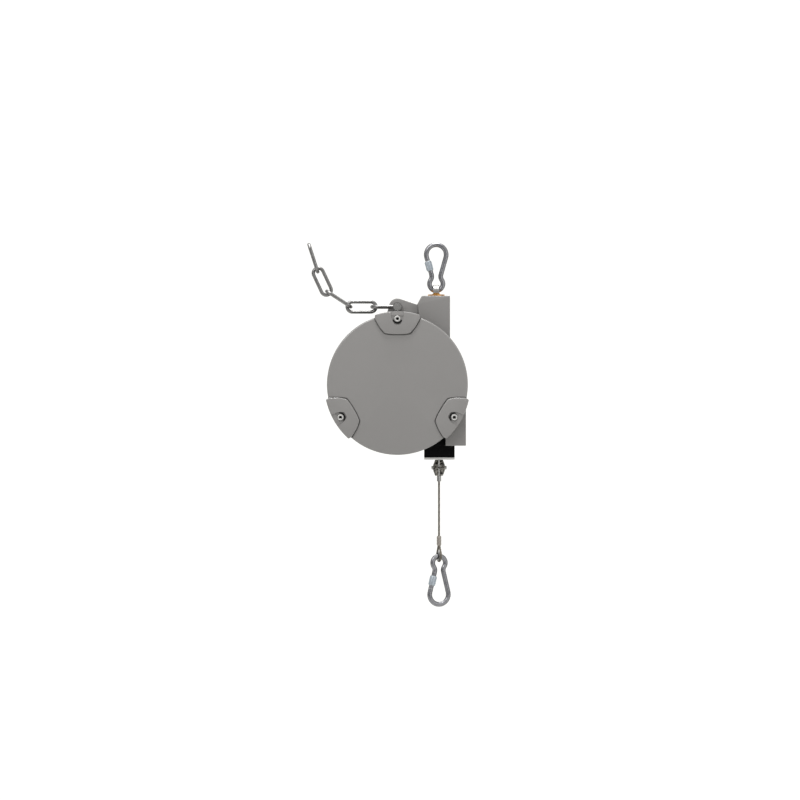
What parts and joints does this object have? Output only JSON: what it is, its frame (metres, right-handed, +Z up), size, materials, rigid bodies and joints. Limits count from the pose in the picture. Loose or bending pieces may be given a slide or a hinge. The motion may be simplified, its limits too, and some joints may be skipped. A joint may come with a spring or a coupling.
{
  "type": "tool balancer",
  "caption": "Hanging spring balancer: round housing with a rope drum and spiral spring, swivel snap hook above, wire rope with snap hook below, and a safety chain.",
  "frame": {"origin": "bearing point inside the wide bow of the upper snap hook, where it hangs", "axes": "+Z up; +X towards the side of the rope; the round front cover faces -Y"},
  "size_m": [0.2268, 0.115, 0.5133],
  "materials": {
    "casting": "die-cast, satin grey powder coat",
    "cover": "die-cast, satin grey powder coat",
    "pressed_steel": "pressed sheet, satin grey powder coat",
    "zinc": "zinc plated",
    "stainless": "polished stainless",
    "steel": "ground",
    "black_screw": "blackened",
    "bronze": "turned",
    "black_plastic": "moulded",
    "white_plastic": "machined sheet",
    "rope": "stranded",
    "ferrule": "pressed",
    "drum_alloy": "cast and turned"
  },
  "bodies": {
    "upper_hook": {"upper_hook": "zinc"},
    "upper_gate": {"upper_gate": "stainless", "upper_gate_pin": "stainless"},
    "upper_gate_sleeve": {"upper_gate_sleeve": "stainless"},
    "swivel": {"swivel_eye": "stainless", "swivel_nut": "steel", "swivel_washer": "steel", "swivel_pin": "stainless"},
    "housing": {"housing": "casting", "front_cover": "cover", "cover_screws": "stainless", "rear_cover": "pressed_steel", "rear_cover_screws": "zinc", "front_bearing_outer_ring": "steel", "front_bearing_balls": "steel", "rear_bearing_outer_ring": "steel", "rear_bearing_balls": "steel", "worm_bushes": "bronze", "rope_guide": "black_plastic", "wear_plate": "white_plastic", "guide_screws": "steel", "swivel_bush": "bronze", "drawn_rope": "rope"},
    "drum": {"drum_shaft": "steel", "shaft_key": "steel", "rope_drum": "drum_alloy", "wound_rope": "rope", "spring_arbor": "drum_alloy", "front_bearing_inner_ring": "steel", "rear_bearing_inner_ring": "steel"},
    "spring_case": {"spring_case": "drum_alloy", "spring_case_lid": "drum_alloy", "worm_wheel": "drum_alloy", "mainspring": "steel"},
    "worm": {"worm_shaft": "steel"},
    "drum_lock": {"lock_bolt": "steel", "lock_knob": "black_plastic"},
    "rope_end": {"rope_stop_left": "black_screw", "rope_stop_right": "black_screw", "rope_stop_screws": "stainless", "rope_stop_sleeve": "stainless", "hanging_rope": "rope", "rope_ferrule": "ferrule", "rope_loop": "rope", "thimble": "stainless"},
    "lower_hook": {"lower_hook": "zinc"},
    "lower_gate": {"lower_gate": "stainless", "lower_gate_pin": "stainless"},
    "lower_gate_sleeve": {"lower_gate_sleeve": "stainless"},
    "shackle": {"shackle": "zinc", "shackle_bolt": "zinc", "shackle_nut": "zinc"},
    "chain_link_one": {"chain_link_one": "zinc"},
    "chain_link_two": {"chain_link_two": "zinc"},
    "chain_link_three": {"chain_link_three": "zinc"},
    "chain_link_four": {"chain_link_four": "zinc"}
  },
  "joints": [
    {"name": "upper_gate_swing", "type": "hinge", "parent": "upper_hook", "child": "upper_gate", "pos_m": [-0.00691, 0, -0.03771], "axis": [0, 1, 0], "range_deg": [0, 28], "stiffness_Nm_per_rad": 0.05, "springref_deg": -11.46},
    {"name": "upper_sleeve_travel", "type": "slide", "parent": "upper_gate", "child": "upper_gate_sleeve", "axis": [-0.2702, 0, 0.9628], "range_m": [0, 0.005]},
    {"name": "hook_swing", "type": "hinge", "parent": "upper_hook", "child": "swivel", "pos_m": [0, 0, -0.061], "axis": [1, 0, 0], "range_deg": [-45, 45]},
    {"name": "swivel_turn", "type": "hinge", "parent": "swivel", "child": "housing", "pos_m": [0, 0, -0.0665], "axis": [0, 0, 1], "continuous": true},
    {"name": "drum_spin", "type": "hinge", "parent": "housing", "child": "drum", "pos_m": [-0.0546, 0.008, -0.1932], "axis": [0, 1, 0], "range_deg": [0, 1980], "stiffness_Nm_per_rad": 0.02, "springref_deg": -8307.89},
    {"name": "rope_pull", "type": "slide", "parent": "housing", "child": "rope_end", "axis": [0, 0, -1], "range_m": [0, 2.025], "deforming": ["drawn_rope"]},
    {"name": "tension_adjust", "type": "hinge", "parent": "housing", "child": "spring_case", "pos_m": [-0.0546, 0.008, -0.1932], "axis": [0, 1, 0], "range_deg": [0, 90]},
    {"name": "worm_turn", "type": "hinge", "parent": "housing", "child": "worm", "pos_m": [0.0284, -0.029, -0.1932], "axis": [0, 0, 1], "range_deg": [0, 5400]},
    {"name": "drum_lock_slide", "type": "slide", "parent": "housing", "child": "drum_lock", "axis": [0, -1, 0], "range_m": [0, 0.007]},
    {"name": "lower_hook_swing", "type": "hinge", "parent": "rope_end", "child": "lower_hook", "pos_m": [0.004, 0.008, -0.4348], "axis": [0.9397, 0.342, 0], "range_deg": [-45, 45]},
    {"name": "lower_gate_swing", "type": "hinge", "parent": "lower_hook", "child": "lower_gate", "pos_m": [-0.00239, 0.00567, -0.45782], "axis": [0.342, -0.9397, 0], "range_deg": [0, 28], "stiffness_Nm_per_rad": 0.05, "springref_deg": -11.46},
    {"name": "lower_sleeve_travel", "type": "slide", "parent": "lower_gate", "child": "lower_gate_sleeve", "axis": [-0.2244, -0.0817, -0.9711], "range_m": [0, 0.009]},
    {"name": "shackle_swing", "type": "hinge", "parent": "housing", "child": "shackle", "pos_m": [-0.0546, 0, -0.0839], "axis": [0, 1, 0], "range_deg": [-25, 25]},
    {"name": "link_one_swing", "type": "hinge", "parent": "shackle", "child": "chain_link_one", "pos_m": [-0.0903, 0, -0.0839], "axis": [0, 1, 0], "range_deg": [-30, 20]},
    {"name": "link_two_swing", "type": "hinge", "parent": "chain_link_one", "child": "chain_link_two", "pos_m": [-0.12, 0, -0.0839], "axis": [0, 1, 0], "range_deg": [-25, 20]},
    {"name": "link_three_swing", "type": "hinge", "parent": "chain_link_two", "child": "chain_link_three", "pos_m": [-0.15397, 0, -0.06184], "axis": [0, 1, 0], "range_deg": [-42, 20]},
    {"name": "link_four_swing", "type": "hinge", "parent": "chain_link_three", "child": "chain_link_four", "pos_m": [-0.1666, 0, -0.03474], "axis": [0, 1, 0], "range_deg": [-25, 20]}
  ],
  "couplings": [
    {"joint": "drum_spin", "follows": "rope_pull", "rad_per_m": 17.065},
    {"joint": "worm_turn", "follows": "tension_adjust", "ratio": 60}
  ]
}
